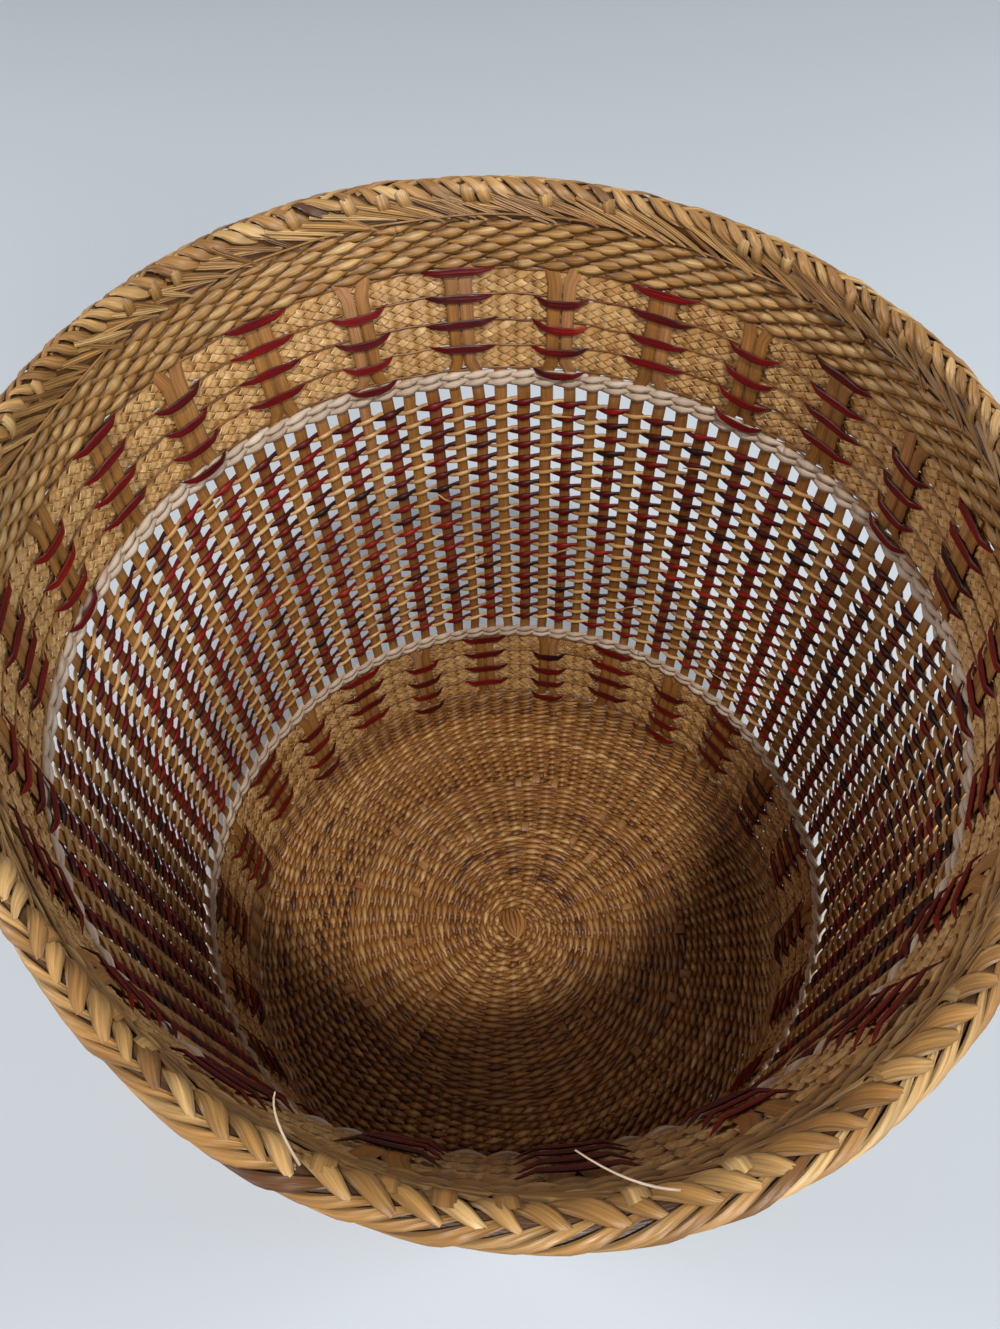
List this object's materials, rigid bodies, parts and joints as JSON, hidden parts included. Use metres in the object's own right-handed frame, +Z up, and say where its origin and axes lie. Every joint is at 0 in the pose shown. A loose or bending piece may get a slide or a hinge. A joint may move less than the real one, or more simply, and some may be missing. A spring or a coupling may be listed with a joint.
{
  "type": "woven basket",
  "caption": "Tall round straw basket with an oval mouth: twined base, patterned bands with red stitches, openwork middle and plaited rim, open at the top.",
  "frame": {"origin": "on the floor under the centre of the base", "axes": "+Z up out of the mouth, +Y along the long way of the oval mouth and away from the viewer, +X to the right of the viewer"},
  "size_m": [0.2892, 0.3348, 0.3098],
  "materials": {
    "weft_straw": "natural straw, satin",
    "stake_straw": "darker flat straw, satin",
    "rim_straw": "golden straw, satin",
    "red_straw": "dyed dark red straw, satin",
    "cream_cord": "pale fibre cord, matte"
  },
  "bodies": {
    "root": {"stake_group_01": "stake_straw", "stake_group_02": "stake_straw", "stake_group_03": "stake_straw", "stake_group_04": "stake_straw", "stake_group_05": "stake_straw", "stake_group_06": "stake_straw", "stake_group_07": "stake_straw", "stake_group_08": "stake_straw", "stake_group_09": "stake_straw", "stake_group_10": "stake_straw", "stake_group_11": "stake_straw", "stake_group_12": "stake_straw", "stake_group_13": "stake_straw", "stake_group_14": "stake_straw", "stake_group_15": "stake_straw", "stake_group_16": "stake_straw", "stake_group_17": "stake_straw", "stake_group_18": "stake_straw", "stake_group_19": "stake_straw", "stake_group_20": "stake_straw", "stake_group_21": "stake_straw", "stake_group_22": "stake_straw", "stake_group_23": "stake_straw", "stake_group_24": "stake_straw", "base_spokes": "stake_straw", "base_weft_under": "weft_straw", "base_weft_top": "weft_straw", "corner_weft_outer": "weft_straw", "lower_wall_weft_inner": "weft_straw", "lower_wall_weft_outer": "weft_straw", "upper_wall_weft_inner": "weft_straw", "upper_wall_weft_outer": "weft_straw", "lower_braid_1": "weft_straw", "lower_braid_2": "weft_straw", "lower_braid_3": "weft_straw", "lower_braid_4": "weft_straw", "lower_red_row_1": "red_straw", "lower_red_row_2": "red_straw", "lower_red_row_3": "red_straw", "lower_red_row_4": "red_straw", "lower_red_row_5": "red_straw", "lower_cream_row_inner": "cream_cord", "lower_cream_row_outer": "cream_cord", "upper_braid_1": "weft_straw", "upper_braid_2": "weft_straw", "upper_braid_3": "weft_straw", "upper_braid_4": "weft_straw", "upper_red_row_1": "red_straw", "upper_red_row_2": "red_straw", "upper_red_row_3": "red_straw", "upper_red_row_4": "red_straw", "upper_red_row_5": "red_straw", "upper_cream_row_inner": "cream_cord", "upper_cream_row_outer": "cream_cord", "openwork_weft_inner": "red_straw", "openwork_weft_outer": "red_straw", "rim_plait": "rim_straw"}
  },
  "joints": []
}
